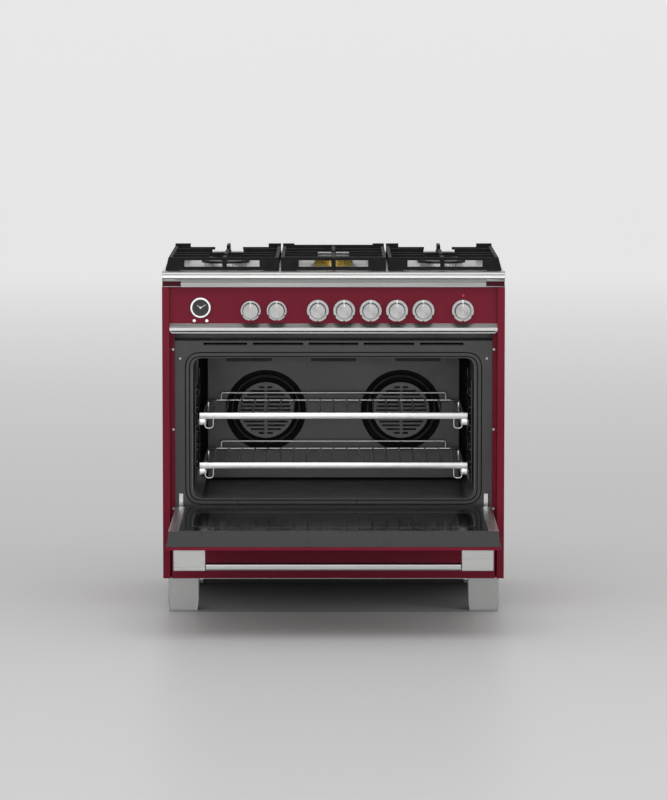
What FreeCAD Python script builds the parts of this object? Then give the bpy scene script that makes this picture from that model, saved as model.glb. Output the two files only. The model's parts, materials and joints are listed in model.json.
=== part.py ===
"""Freestanding gas range, ninety centimetre class: five gas burners over one wide electric oven.

Millimetres, +Z up, the front faces -Y. The drop-down door rests open, and the origin is on the floor,
under the middle of the box that the open range fills.
"""
import FreeCAD, Part
import math
import os

V = FreeCAD.Vector
X_AXIS, Y_AXIS, Z_AXIS = V(1, 0, 0), V(0, 1, 0), V(0, 0, 1)

# Overall sizes
width = 898.0
depth = 600.0
hob_height = 903.0
leg_height = 90.0
sheet = 1.5

# Front edge of the side panels
edge_width = 19.0
edge_return = 51.0
lug_reach = 12.0
recess = edge_return + sheet - 0.5

# Upper front, counted down from the hob
hob_thickness = 20.0
trim_height = 21.0
panel_height = 95.0
panel_setback = 12.0
ledge_height = 26.0
ledge_front_height = 8.0
ledge_depth = 38.0
panel_bottom = hob_height - hob_thickness - 2.0 - trim_height - 1.0 - panel_height
ledge_bottom = panel_bottom - ledge_height

# Door
hinge_height = 253.0
hinge_setback = 23.0
hinge_pin_radius = 3.0
running_clearance = 0.05
door_lift = 6.0
door_thickness = 49.0
door_flare = 5.0
door_cap = 2.0
door_skin = 8.0
door_gap_above = 4.0
door_top = ledge_bottom - door_gap_above
door_bottom = hinge_height + door_lift
door_half = width / 2 - 26.0
door_core_half = width / 2 - 33.4
door_channel_width = 25.6
window_half = width / 2 - 159.0
window_margin = 112.0
kick_top = hinge_height - hinge_setback - 6.0

# Door hinge: the fixed arm, its hook above the pin, and the lugs either side of it
arm_inner, arm_outer = width / 2 - 52.0, width / 2 - 40.0
arm_depth = 8.0
hook_top = hinge_height + 56.0
eye_radius = 5.5
lug_thickness = 5.0
lug_gap = 0.4

# Oven
frame_top = ledge_bottom - 23.0
cavity_half = width / 2 - 78.0
cavity_floor = door_bottom + 35.5
cavity_top = frame_top - 45.5
cavity_height = cavity_top - cavity_floor
cavity_corner = 27.0
back_gap = 100.0
rim_step = 4.0
seal_width = 14.0
seal_height = 2.7
fan_offset = cavity_half / 2
fan_rise = 0.5134 * cavity_height
fan_hole_radius = 0.295 * cavity_height
guard_radius = 76.5
guard_slot = 5.5
guard_pitch = 10.5
baffle_gap = 40.0
baffle_margin = 27.0
impeller_radius = 68.0
ring_element_radius = 92.0
fan_shaft_radius = 4.0

# Racks and their telescopic slides
rack_rises = {"lower": 0.248 * cavity_height, "upper": 0.602 * cavity_height}
rack_wire_radius = 3.0
rack_rod_radius = 2.0
rack_rail_height = 16.5
rack_rods = 19
rack_setback = 85.0
rack_depth = depth - 250.0
rack_half = cavity_half - 28.0
rack_pitch = (rack_half - 21.7) * 2 / (rack_rods - 1)
hook_width = 35.0
hook_drop = 25.0
fence_height = 20.0
slide_length = rack_depth - 5.0
slide_inset = 13.0
slide_height = 15.0
slide_member = 6.5
slide_gap = 0.6
slide_drop = 34.0
ladder_levels = 5
ladder_first = 0.2064 * cavity_height
ladder_pitch = 0.1284 * cavity_height

# Hob
grate_height = 35.0
rear_wall_drop = 4.0
block_height = 6.0
grate_front = 30.0
grate_depth = depth - 125.0
grate_gap = 5.5
grate_lean = 9.0
side_grate_width = width * 0.332
bar_width = 9.0
finger_height = 11.0
mullion = 12.0
lift_clearance = 1.0
burner_front = grate_front + 0.2274 * grate_depth
burner_rear = grate_front + 0.7474 * grate_depth
burner_offset = width / 2 - 14.0 - side_grate_width / 2
cap_radius = 63.5
side_crown_radius = 57.0
centre_crown_radius = 51.0
port_width = 3.0
crown_height = 15.0
cap_height = 6.5
mixing_tube_radius = 18.0

# Controls, spread across the width
control_height = panel_bottom + 33.5
gas_knob_pitch = width * 0.077
gas_knob_places = [gas_knob_pitch * (step - 0.593) for step in range(5)]
oven_knob_places = [width * -0.24165, width * -0.16592, width * 0.37751]
gas_skirt_radius = 28.5
oven_skirt_radius = 26.0
knob_cap_radius = 20.3
knob_skirt_depth = 6.0
knob_depth = 28.0
pointer_height = 3.0
knob_gap = 1.5
spindle_radius = 4.0
spindle_hole_radius = 5.0
clock_place = width * -0.3881
clock_rise = 41.0
clock_radius = 27.5
dial_radius = 21.75
button_offset = 16.5
button_rise = 7.0
button_radius = 4.0
button_travel = 1.5
lamp_place = oven_knob_places[2] + 1.0
lamp_rise = 73.0

# Services at the back
inlet_thread_radius = 10.48
inlet_reach = 15.0
inlet_place = (width / 2 - 49.0, hob_height - 258.0)
cable_entry_radius = 11.0
terminal_height = 180.0
feed_pitch = 8.5
cup_depth = 24.0
bracket_hole_radius = 2.6
bracket_spacing = 100.0
bracket_height = hob_height - 78.0
frame_screw_heights = [0.3666 * door_top, 0.6539 * door_top, 0.9425 * door_top]

# Derived planes: the open door and the gas inlet end the same distance from the origin
half = width / 2
front = -(hinge_setback - (door_top - hinge_height) + depth + inlet_reach) / 2
back = front + depth
hinge_y = front + hinge_setback
frame_face = front + recess
cavity_back = back - back_gap
baffle_face = cavity_back - baffle_gap
fan_height = cavity_floor + fan_rise
hob_face = hob_height - 2.0
grate_top = hob_face + grate_height
rack_front = front + rack_setback
trim_low = panel_bottom + panel_height + 1.0
trim_window = (trim_low + 2.5, trim_low + 14.5)


def box(x0, x1, y0, y1, z0, z1):
    return Part.makeBox(x1 - x0, y1 - y0, z1 - z0, V(x0, y0, z0))


def rod(start, end, radius):
    return Part.makeCylinder(radius, (end - start).Length, start, end - start)


def disc(x, y0, y1, z, radius):
    return rod(V(x, y0, z), V(x, y1, z), radius)


def post(x, y, z0, z1, radius):
    return rod(V(x, y, z0), V(x, y, z1), radius)


def joined(shapes):
    return shapes[0].multiFuse(shapes[1:]).removeSplitter() if len(shapes) > 1 else shapes[0]


def mirrored(shape):
    return shape.mirror(V(0, 0, 0), X_AXIS)


def both_sides(shape):
    return [shape, mirrored(shape)]


def prism(points, x0, x1):
    """An outline in the YZ plane, run from x0 to x1."""
    corners = [V(x0, y, z) for y, z in points]
    return Part.Face(Part.makePolygon(corners + corners[:1])).extrude(V(x1 - x0, 0, 0))


def rounded_slab(half_width, z0, z1, y0, y1, radius):
    """A plate standing across the range with its four corners rounded."""
    slab = box(-half_width, half_width, y0, y1, z0, z1)
    corners = [e for e in slab.Edges if abs(e.tangentAt(e.FirstParameter).y) > 0.9]
    return slab.makeFillet(min(radius, half_width * 0.9, (z1 - z0) * 0.45), corners)


def wire_run(points, radius, elbow=1.0):
    """Straight runs of wire or pipe with ball corners, which elbow makes fatter than the run."""
    runs = [rod(a, b, radius) for a, b in zip(points, points[1:])]
    balls = [Part.makeSphere(radius * elbow, p) for p in points[1:-1]]
    return joined(runs + balls)


def opened(shape):
    """A door piece drawn closed, turned down to its open rest."""
    turned = shape.copy()
    turned.rotate(V(0, hinge_y, hinge_height), X_AXIS, 90)
    return turned


def export(name, solids):
    if not isinstance(solids, list):
        solids = [solids]
    pieces = [s for shape in solids for s in shape.Solids]
    shape = pieces[0] if len(pieces) == 1 else Part.makeCompound(pieces)
    if not all(s.isValid() for s in pieces):
        print("not valid:", name)
    shape.exportStep(f"parts/{name}.step")


# --- cabinet ---

def side_panel():
    """Right side: outer skin, front edge, its return and the lug that the oven frame is screwed to."""
    inner = half - edge_width
    top = panel_bottom + panel_height + 0.5
    edge = box(inner, half, front, front + sheet, leg_height, top)
    side = box(inner, inner + sheet, front, front + edge_return, leg_height, top)
    lug = box(inner - lug_reach, inner + sheet, front + edge_return - sheet, front + edge_return,
              leg_height, ledge_bottom - 2)
    skin = box(half - sheet, half, front, back, leg_height, top)
    upper_skin = box(half - sheet, half, front + 14, back, leg_height, hob_height - hob_thickness)
    rear = box(inner, half, back - sheet, back, leg_height, hob_height - hob_thickness)
    return joined([skin, upper_skin, edge, side, lug, rear])


def back_panel():
    y0, y1 = back - 2 * sheet, back - sheet
    panel = box(-half + sheet, half - sheet, y0, y1, leg_height + sheet, hob_height - hob_thickness)
    x, z = inlet_place
    cuts = [disc(x, y0 - 1, y1 + 1, z, 14.0),
            disc(-x, y0 - 1, y1 + 1, terminal_height, cable_entry_radius)]
    for side in (-1, 1):
        cuts.append(disc(side * bracket_spacing / 2, y0 - 1, y1 + 1, bracket_height, bracket_hole_radius))
    for row in range(7):
        for column in range(-2, 3):
            louvre = 300.0 + 24.0 * row
            cuts.append(box(column * 90 - 35, column * 90 + 35, y0 - 1, y1 + 1, louvre, louvre + 5))
    return panel.cut(cuts)


def base_tray():
    inner = half - sheet
    y0, y1 = front + 3.5, back - 2 * sheet
    floor = box(-inner, inner, y0, y1, leg_height, leg_height + sheet)
    floor = floor.cut([box(inner - edge_width, inner, y0 - 1, front + edge_return, leg_height - 1,
                           leg_height + 3),
                       box(-inner, -inner + edge_width, y0 - 1, front + edge_return, leg_height - 1,
                           leg_height + 3),
                       box(inner - edge_width - lug_reach, inner, front + edge_return - sheet - 0.5,
                           front + edge_return + 0.5, leg_height - 1, leg_height + 3),
                       box(-inner, -inner + edge_width + lug_reach, front + edge_return - sheet - 0.5,
                           front + edge_return + 0.5, leg_height - 1, leg_height + 3)])
    lip_half = half - 24.0
    front_lip = box(-lip_half, lip_half, y0, y0 + sheet, leg_height, leg_height + 25)
    rear_lip = box(-inner, inner, y1 - sheet, y1, leg_height, leg_height + 25)
    rear_lip = rear_lip.cut([box(s * inner - edge_width, s * inner + edge_width, y1 - 2, y1 + 1,
                                 leg_height - 1, leg_height + 30) for s in (-1, 1)])
    return joined([floor, front_lip, rear_lip])


def kick_panel():
    wide = half - 23.0
    face = box(-wide, wide, front + 2, front + 2 + sheet, leg_height, kick_top)
    shelf = box(-wide, wide, front + 2, front + 24, kick_top - sheet, kick_top)
    return joined([face, shelf])


def front_leg():
    """Square stainless leg, open above, with its last stretch drawn in."""
    inner, outer, taper, low = half - 93.0, half - 13.0, 3.5, 25.0
    y0, y1 = front + 25, front + 85
    outline = [(inner, leg_height), (outer, leg_height), (outer, low), (outer - taper, 0),
               (inner + taper, 0), (inner, low)]
    corners = [V(x, y0, z) for x, z in outline]
    leg = Part.Face(Part.makePolygon(corners + corners[:1])).extrude(V(0, y1 - y0, 0))
    hollow = box(inner + 5, outer - 5, y0 + 2, y1 - 2, 4, leg_height + 1)
    return leg.cut(hollow)


def rear_foot():
    x, y = half - 68.0, back - 70
    pad = post(x, y, 0, 9, 20)
    stem = post(x, y, 8, leg_height, 5)
    nut = Part.Face(Part.makePolygon([V(x + 9.2 * math.cos(math.radians(60 * k)),
                                        y + 9.2 * math.sin(math.radians(60 * k)), leg_height - 9)
                                      for k in range(7)])).extrude(V(0, 0, 8))
    return joined([pad, stem, nut])


# --- oven ---

def oven_front_frame():
    """Enamelled face with the oven mouth, the cooling slots and the two hinge slots."""
    wide = half - 25.0
    face = box(-wide, wide, frame_face, frame_face + sheet, 200, frame_top)
    y0, y1 = frame_face - 1, frame_face + sheet + 1
    mouth = rounded_slab(cavity_half + rim_step, cavity_floor + 1.5, cavity_top - 1.5, y0, y1,
                         cavity_corner + 2)
    cuts = [mouth]
    low = frame_top - 12
    for start, end in ((-65, 65), (80, 212), (228, 342), (-212, -80), (-342, -228)):
        cuts.append(box(start, end, y0, y1, low, low + 6))
    slot = box(arm_inner - 0.5, arm_outer + 0.5, y0, y1, hinge_height - 6, hook_top + 0.5)
    duct = frame_face + 70
    shelf = box(-wide, wide, frame_face, duct, frame_top - sheet, frame_top)
    duct_back = box(-wide, wide, duct - sheet, duct, frame_top - sheet, ledge_bottom + 15)
    return joined([face.cut(cuts + both_sides(slot)), shelf, duct_back])


def oven_cavity():
    wall = sheet
    outer = rounded_slab(cavity_half + wall, cavity_floor - wall, cavity_top + wall,
                         frame_face + sheet, cavity_back + wall, cavity_corner + wall)
    inner = rounded_slab(cavity_half, cavity_floor, cavity_top, frame_face, cavity_back, cavity_corner)
    flange = rounded_slab(cavity_half + 15, cavity_floor - 15, cavity_top + 15,
                          frame_face + sheet, frame_face + 2 * sheet, cavity_corner + 15)
    holes = [disc(s * fan_offset, cavity_back - 1, cavity_back + wall + 1, fan_height, 6.0)
             for s in (-1, 1)]
    flue = post(0, cavity_back - 60, cavity_top - 1, cavity_top + wall + 1, 18.0)
    return outer.fuse(flange).cut([inner] + holes + [flue])


def oven_insulation():
    y0, y1 = frame_face + arm_depth + 2, cavity_back + 40
    blanket = box(-half + 32, half - 32, y0, y1, cavity_floor - 50, cavity_top + 35)
    clear = 2.0
    hollow = rounded_slab(cavity_half + sheet + clear, cavity_floor - sheet - clear,
                          cavity_top + sheet + clear, y0 - 1, cavity_back + sheet + clear,
                          cavity_corner + sheet + clear)
    motors = [disc(s * fan_offset, cavity_back, y1 + 1, fan_height, 36.0) for s in (-1, 1)]
    flue = post(0, cavity_back - 60, cavity_top, cavity_top + 40, 20.0)
    return blanket.cut([hollow, flue] + motors)


def door_seal():
    y0, y1 = frame_face - seal_height, frame_face
    inner_half = cavity_half + rim_step + 3
    inner_low, inner_top = cavity_floor - 1.5, cavity_top + 1.5
    outer = rounded_slab(inner_half + seal_width, inner_low - seal_width, inner_top + seal_width,
                         y0, y1, cavity_corner + 3 + seal_width)
    inner = rounded_slab(inner_half, inner_low, inner_top, y0 - 1, y1 + 1, cavity_corner + 3)
    return outer.cut(inner)


def fan_guard(x):
    """Slotted disc over one fan, held by three arms across the outlet ring."""
    y0, y1 = baffle_face, baffle_face + sheet
    guard = disc(x, y0, y1, fan_height, guard_radius)
    reach = guard_radius - 8
    rows = int(reach / guard_pitch)
    cuts = []
    for row in range(-rows, rows + 1):
        rise = row * guard_pitch
        chord = math.sqrt(max(reach ** 2 - (abs(rise) + guard_slot / 2) ** 2, 1))
        z = fan_height + rise
        for side in (-1, 1):
            inner, outer = x + side * 4, x + side * chord
            cuts.append(box(min(inner, outer), max(inner, outer), y0 - 1, y1 + 1,
                            z - guard_slot / 2, z + guard_slot / 2))
    arms = []
    for angle in (90, 210, 330):
        arm = box(x + guard_radius - 4, x + fan_hole_radius + 3, y0, y1, fan_height - 4, fan_height + 4)
        arm.rotate(V(x, 0, fan_height), Y_AXIS, angle)
        arms.append(arm)
    return [guard.cut(cuts)] + arms


def fan_baffle():
    wide = cavity_half - baffle_margin
    low, top = cavity_floor + 7, cavity_top - 7
    plate = box(-wide, wide, baffle_face, baffle_face + sheet, low, top)
    plate = plate.cut([disc(s * fan_offset, baffle_face - 1, baffle_face + sheet + 1, fan_height,
                            fan_hole_radius) for s in (-1, 1)])
    spacers = [disc(s * (wide - 15), baffle_face + 0.5, cavity_back, z, 6.0)
               for s in (-1, 1) for z in (low + 15, top - 15)]
    return joined([plate] + fan_guard(fan_offset) + fan_guard(-fan_offset) + spacers)


def ring_element(x):
    y = baffle_face + 24
    ring = Part.makeTorus(ring_element_radius, 3.5, V(x, y, fan_height), Y_AXIS)
    tails = [disc(x + s * 12, y, cavity_back, fan_height + ring_element_radius, 2.5) for s in (-1, 1)]
    return joined([ring] + tails)


def grill_element():
    """Serpentine rod under the oven roof."""
    z, y0, y1 = cavity_top - 14, frame_face + 90, baffle_face - 50
    reach = cavity_half - 90
    runs, points = 6, []
    for run in range(runs):
        x = -reach + 2 * reach * run / (runs - 1)
        ends = (y1, y0) if run % 2 == 0 else (y0, y1)
        points += [V(x, ends[0], z), V(x, ends[1], z)]
    hangers = [post(x, y1 - 30, z, cavity_top, 2.0) for x in (-reach, reach)]
    return joined([wire_run(points, 4.0)] + hangers)


def fan_impeller(x):
    y0 = baffle_face + 8
    back_disc = disc(x, y0 + 20, y0 + 21.5, fan_height, impeller_radius)
    hub = disc(x, y0, y0 + 21.5, fan_height, 11)
    shaft = disc(x, y0 - 2, cavity_back + 40, fan_height, fan_shaft_radius)
    blades = []
    for blade in range(12):
        vane = box(x + 42, x + impeller_radius - 1, y0 + 2, y0 + 20.5, fan_height - 0.8, fan_height + 0.8)
        vane.rotate(V(x + 55, 0, fan_height), Y_AXIS, 25)
        vane.rotate(V(x, 0, fan_height), Y_AXIS, 30 * blade)
        blades.append(vane)
    return joined([back_disc, hub, shaft] + blades)


def fan_motor(x):
    y0 = cavity_back + sheet
    can = disc(x, y0 + 6, y0 + 46, fan_height, 32)
    nose = disc(x, y0, y0 + 8, fan_height, 14)
    bore = disc(x, y0 - 1, y0 + 42, fan_height, fan_shaft_radius + running_clearance)
    return joined([can, nose]).cut(bore)


def slide_band(rack):
    top = cavity_floor + rack_rises[rack] - rack_rail_height - 2.5
    return top - slide_height, top


def side_ladder():
    """Wire runners on the right wall with the fixed members of both telescopic slides."""
    x = cavity_half - 8.5
    y0, y1 = frame_face + 50, baffle_face - 15
    low = cavity_floor + ladder_first - 40
    high = cavity_floor + ladder_first + ladder_pitch * (ladder_levels - 1) + 40
    posts = [post(cavity_half - 4, y, low, high, 3.0) for y in (y0 + 10, y1 - 10)]
    rungs = []
    for level in range(ladder_levels):
        for lift in (0, 16):
            z = cavity_floor + ladder_first + ladder_pitch * level + lift
            rungs.append(rod(V(x, y0, z), V(x, y1, z), 2.0))
    return joined(posts + rungs)


def slide_fixed(rack):
    low, top = slide_band(rack)
    outer = cavity_half - slide_inset
    rail = box(outer - slide_member, outer, rack_front + 8, rack_front + 8 + slide_length, low, top)
    clips = [box(outer - 1, outer + 2.3, rack_front + 8 + y, rack_front + 28 + y, low + 2, top - 2)
             for y in (20, slide_length - 60)]
    return joined([rail] + clips)


def slide_middle(rack):
    low, top = slide_band(rack)
    outer = cavity_half - slide_inset - slide_member - slide_gap
    return box(outer - slide_member, outer, rack_front + 6, rack_front + 6 + slide_length, low + 2.5,
               top - 2.5)


def rack(name):
    """Wire shelf with its front rail, end hooks, rear fence and the two sliding members under it."""
    low, top = slide_band(name)
    plane = cavity_floor + rack_rises[name]
    y0, y1 = rack_front + 3, rack_front + rack_depth
    z = plane - rack_wire_radius
    outer = cavity_half - slide_inset - 2 * (slide_member + slide_gap)
    half_rail = cavity_half - 16.0
    rail = box(-half_rail, half_rail, rack_front, rack_front + 3, plane - rack_rail_height, plane)
    frame = wire_run([V(-rack_half, y0 - 1, z), V(-rack_half, y1, z), V(rack_half, y1, z),
                      V(rack_half, y0 - 1, z)], rack_wire_radius)
    rods = []
    for step in range(rack_rods):
        x = (step - (rack_rods - 1) / 2) * rack_pitch
        rods.append(rod(V(x, y0 - 1, z + 0.8), V(x, y1, z + 0.8), rack_rod_radius))
    fence_half = rack_half - 36
    fence = wire_run([V(-fence_half, y1, z), V(-fence_half, y1, z + fence_height),
                      V(fence_half, y1, z + fence_height), V(fence_half, y1, z)], 2.5)
    members, webs, hooks = [], [], []
    for side in (-1, 1):
        edges = sorted((side * outer, side * (outer - slide_member)))
        members.append(box(edges[0], edges[1], y0 + 2, y0 + 2 + slide_length, low, top))
        for y in (y0 + 30, y1 - 60):
            webs.append(box(edges[0] + 1, edges[1] - 1, y, y + 20, top - 1, z + 1))
        ends = [side * (half_rail - 3 - hook_width), side * (half_rail - 3)]
        hook_z = plane - rack_rail_height - hook_drop
        y = rack_front + 1.5
        hooks.append(wire_run([V(ends[0], y, plane - rack_rail_height + 2), V(ends[0], y, hook_z),
                               V(ends[1], y, hook_z), V(ends[1], y, plane - rack_rail_height + 2)], 2.0))
    return joined([rail, frame, fence] + rods + members + webs + hooks)


# --- door, drawn closed ---

def door_core():
    """Enamelled ring between the two side channels, with the plate that closes the door's top end."""
    wide = door_core_half - door_channel_width
    y0, y1 = front + door_skin, front + door_thickness
    ring = box(-wide, wide, y0, y1, door_bottom, door_top)
    window = box(-window_half, window_half, y0 - 1, y1 + 1, door_bottom + window_margin,
                 door_top - window_margin)
    pane = box(-wide - 1, wide + 1, y1 - 4.6, y1 + 1, door_bottom + 3, door_top - 9)
    low = door_top - door_cap
    corners = [V(-door_core_half - door_flare, y0, low), V(door_core_half + door_flare, y0, low),
               V(door_core_half, y1, low), V(-door_core_half, y1, low)]
    cap = Part.Face(Part.makePolygon(corners + corners[:1])).extrude(V(0, 0, door_cap))
    return joined([ring.cut([window, pane]), cap])


def door_channel():
    """Right channel, flared towards the outer panel."""
    inner, outer = door_core_half - door_channel_width, door_core_half
    y0, y1 = front + door_skin, front + door_thickness
    corners = [V(inner, y0, door_bottom), V(outer + door_flare, y0, door_bottom),
               V(outer, y1, door_bottom), V(inner, y1, door_bottom)]
    top = door_top - door_cap
    channel = Part.Face(Part.makePolygon(corners + corners[:1])).extrude(V(0, 0, top - door_bottom))
    return channel.cut(box(inner + 2, outer - 2, y0 - 1, y1 - 2, door_bottom + 20, top - 2))


def door_glass_panes():
    wide = door_core_half - door_channel_width - 0.2
    y1 = front + door_thickness
    inner = box(-wide, wide, y1 - 4.4, y1, door_bottom + 3.2, door_top - 9.2)
    outer = box(-window_half - 12, window_half + 12, front + 2.2, front + 6.2,
                door_bottom + window_margin - 12, door_top - window_margin + 12)
    return [inner, outer]


def door_outer_panel():
    skin = box(-door_half, door_half, front, front + door_skin, door_bottom, door_top)
    hollow = box(-door_half + 2, door_half - 2, front + 2, front + door_skin + 1, door_bottom + 2,
                 door_top - 2)
    window = box(-window_half, window_half, front - 1, front + 3, door_bottom + window_margin,
                 door_top - window_margin)
    return skin.cut([hollow, window])


def door_handle():
    """Two square brackets and the bar between them."""
    low, top = door_top - 66, door_top - 30
    reach = 57.0
    inner, outer = half - 125.0, half - 44.0
    brackets = both_sides(box(inner, outer, front - reach, front, low, top))
    bar = box(-inner, inner, front - reach, front - reach + 18, low + 6, top - 6)
    edges = [e for e in bar.Edges if abs(e.tangentAt(e.FirstParameter).x) > 0.9]
    return brackets + [bar.makeFillet(5.0, edges)]


def hinge_lugs():
    """Right pair of door lugs with the pin through them."""
    lugs = []
    for x0 in (arm_inner - lug_gap - lug_thickness, arm_outer + lug_gap):
        eye = rod(V(x0, hinge_y, hinge_height), V(x0 + lug_thickness, hinge_y, hinge_height), eye_radius)
        web = box(x0, x0 + lug_thickness, hinge_y - eye_radius, hinge_y + eye_radius, hinge_height, door_bottom)
        lugs.append(eye.fuse(web))
    pin = rod(V(arm_inner - lug_gap - lug_thickness, hinge_y, hinge_height),
              V(arm_outer + lug_gap + lug_thickness, hinge_y, hinge_height), hinge_pin_radius)
    return joined(lugs + [pin])


def hinge_receiver():
    """Fixed arm: an eye round the door pin, a strap back to the frame and the hook in its slot."""
    eye = rod(V(arm_inner, hinge_y, hinge_height), V(arm_outer, hinge_y, hinge_height), eye_radius)
    strap = box(arm_inner, arm_outer, hinge_y, frame_face + arm_depth, hinge_height - eye_radius,
                hinge_height + eye_radius)
    hook = box(arm_inner, arm_outer, frame_face - 1.5, frame_face + arm_depth, hinge_height - eye_radius,
               hook_top)
    bore = rod(V(arm_inner - 1, hinge_y, hinge_height), V(arm_outer + 1, hinge_y, hinge_height),
               hinge_pin_radius + running_clearance)
    return joined([eye, strap, hook]).cut(bore)


# --- upper front ---

def control_ledge():
    """Folded stainless shelf under the knobs: sloping top, front face and a lower lip."""
    wide = half - edge_width
    nose = panel_bottom - 11
    rear = front + ledge_depth
    top = [(front, nose - ledge_front_height), (front, nose), (front + panel_setback, panel_bottom),
           (rear, panel_bottom), (rear, panel_bottom - sheet), (front + panel_setback, panel_bottom - sheet),
           (front + sheet, nose - 1), (front + sheet, nose - ledge_front_height)]
    web = box(-wide, wide, rear - sheet, rear, ledge_bottom, panel_bottom)
    lip = box(-wide + 5, wide - 5, front + 3, rear, ledge_bottom, ledge_bottom + 3)
    return joined([prism(top, -wide, wide), web, lip])


def spindle_places():
    return gas_knob_places + oven_knob_places


def control_panel():
    wide = half - edge_width
    y0 = front + panel_setback
    panel = box(-wide, wide, y0, y0 + sheet, panel_bottom, panel_bottom + panel_height)
    cuts = [disc(x, y0 - 1, y0 + 3, control_height, spindle_hole_radius) for x in spindle_places()]
    cuts.append(disc(clock_place, y0 - 1, y0 + 3, panel_bottom + clock_rise, dial_radius + 1.5))
    for side in (-1, 1):
        cuts.append(disc(clock_place + side * button_offset, y0 - 1, y0 + 3, panel_bottom + button_rise,
                         button_radius + 0.1))
    cuts.append(disc(lamp_place, y0 - 1, y0 + 3, panel_bottom + lamp_rise, 3.1))
    blocks = both_sides(box(half - 49.5, half - 2, front + 3, front + 13, *trim_window))
    return [panel.cut(cuts)] + blocks


def panel_trim_strip():
    """Stainless strip under the hob, open at each end over a painted block."""
    strip = box(-half + 0.5, half - 0.5, front + 0.5, front + 2, trim_low, trim_low + trim_height)
    shelf = box(-half + edge_width, half - edge_width, front + 0.5, front + panel_setback + sheet,
                trim_low, trim_low + sheet)
    windows = both_sides(box(half - 49.5, half - 2, front, front + 3, *trim_window))
    return joined([strip, shelf]).cut(windows)


def knob(x, skirt_radius):
    face = front + panel_setback - knob_gap
    skirt = disc(x, face - knob_skirt_depth, face, control_height, skirt_radius)
    notches = []
    for angle in (120, 180, 240):
        notch = box(x - 2.5, x + 2.5, face - knob_skirt_depth - 1, face + 1,
                    control_height + skirt_radius - 2.5, control_height + skirt_radius + 1)
        notch.rotate(V(x, 0, control_height), Y_AXIS, angle)
        notches.append(notch)
    cap = disc(x, face - knob_depth, face - knob_skirt_depth + 1, control_height, knob_cap_radius)
    rim = [e for e in cap.Edges if abs(e.BoundBox.YMin - (face - knob_depth)) < 0.01
           and e.BoundBox.YLength < 0.01]
    cap = cap.makeFillet(1.5, rim)
    spindle = disc(x, face - 2, face + 30, control_height, spindle_radius)
    pointer = box(x - 2.4, x + 2.4, face - knob_skirt_depth - pointer_height, face - knob_skirt_depth + 1,
                  control_height + knob_cap_radius - 1, control_height + skirt_radius - 0.6)
    mark = box(x - 1.2, x + 1.2, face - knob_depth - 0.3, face - knob_depth + 1,
               control_height + 12, control_height + knob_cap_radius - 2)
    return joined([skirt.cut(notches), cap, spindle, pointer, mark])


def spindle_housing(x, wide, high):
    """Valve or switch body with its running bore."""
    y0 = front + panel_setback + 8
    body = box(x - wide / 2, x + wide / 2, y0, y0 + 26, control_height - high / 2,
               control_height + high / 2)
    return body.cut(disc(x, y0 - 1, y0 + 22, control_height, spindle_radius + running_clearance))


def gas_manifold():
    """Supply tube behind the valves, run down the right side to the inlet at the back."""
    x, z = inlet_place
    y = front + panel_setback + 34 + 9
    run = [V(gas_knob_places[0] - 20, y, control_height), V(x, y, control_height),
           V(x, back - 40, control_height), V(x, back - 40, z)]
    tube = wire_run(run, 8.6, elbow=1.05)
    return [tube] + [spindle_housing(place, 26, 34) for place in gas_knob_places]


def control_switches():
    return [spindle_housing(place, 44, 44) for place in oven_knob_places]


def clock_bezel():
    y0 = front + panel_setback
    z = panel_bottom + clock_rise
    ring = disc(clock_place, y0 - 5, y0, z, clock_radius)
    rim = [e for e in ring.Edges if abs(e.BoundBox.YMin - (y0 - 5)) < 0.01 and e.BoundBox.YLength < 0.01]
    return ring.makeFillet(2.0, rim).cut(disc(clock_place, y0 - 6, y0 + 1, z, dial_radius))


def clock_dial():
    y0 = front + panel_setback
    z = panel_bottom + clock_rise
    cup = disc(clock_place, y0 - 0.5, y0 + 18, z, dial_radius - 0.1)
    return cup.cut(disc(clock_place, y0 - 1, y0 + 8, z, 2.0))


def clock_hand(length, bore, hub, y0, y1, tube_end, angle):
    """One hand on its shaft, or on a tube where it has a bore, turned clockwise from twelve."""
    z = panel_bottom + clock_rise
    hand = box(clock_place - 0.7, clock_place + 0.7, y0, y1, z, z + length)
    shaft = disc(clock_place, y0, tube_end, z, hub)
    hand = joined([hand, shaft, disc(clock_place, y0, y1, z, hub + 0.8)])
    if bore:
        hand = hand.cut(disc(clock_place, y0 - 1, tube_end + 1, z, bore))
    hand.rotate(V(clock_place, 0, z), Y_AXIS, angle)
    return hand


def clock_hands():
    y0 = front + panel_setback - 0.5
    hour = clock_hand(11.0, 1.15, 1.95, y0 - 1.2, y0 - 0.7, y0 + 6, -55)
    minute = clock_hand(16.0, 0, 1.1, y0 - 2.0, y0 - 1.5, y0 + 5, 60)
    return hour, minute


def clock_button(side):
    y0 = front + panel_setback
    x, z = clock_place + side * button_offset, panel_bottom + button_rise
    return joined([disc(x, y0 - 3, y0 + 6, z, button_radius), disc(x, y0 + 4, y0 + 6, z, button_radius + 1)])


def indicator_lamp():
    y0 = front + panel_setback
    z = panel_bottom + lamp_rise
    lens = disc(lamp_place, y0 - 1.0, y0, z, 3.5)
    return joined([lens, disc(lamp_place, y0 - 0.5, y0 + 12, z, 3.0)])


# --- hob ---

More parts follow.
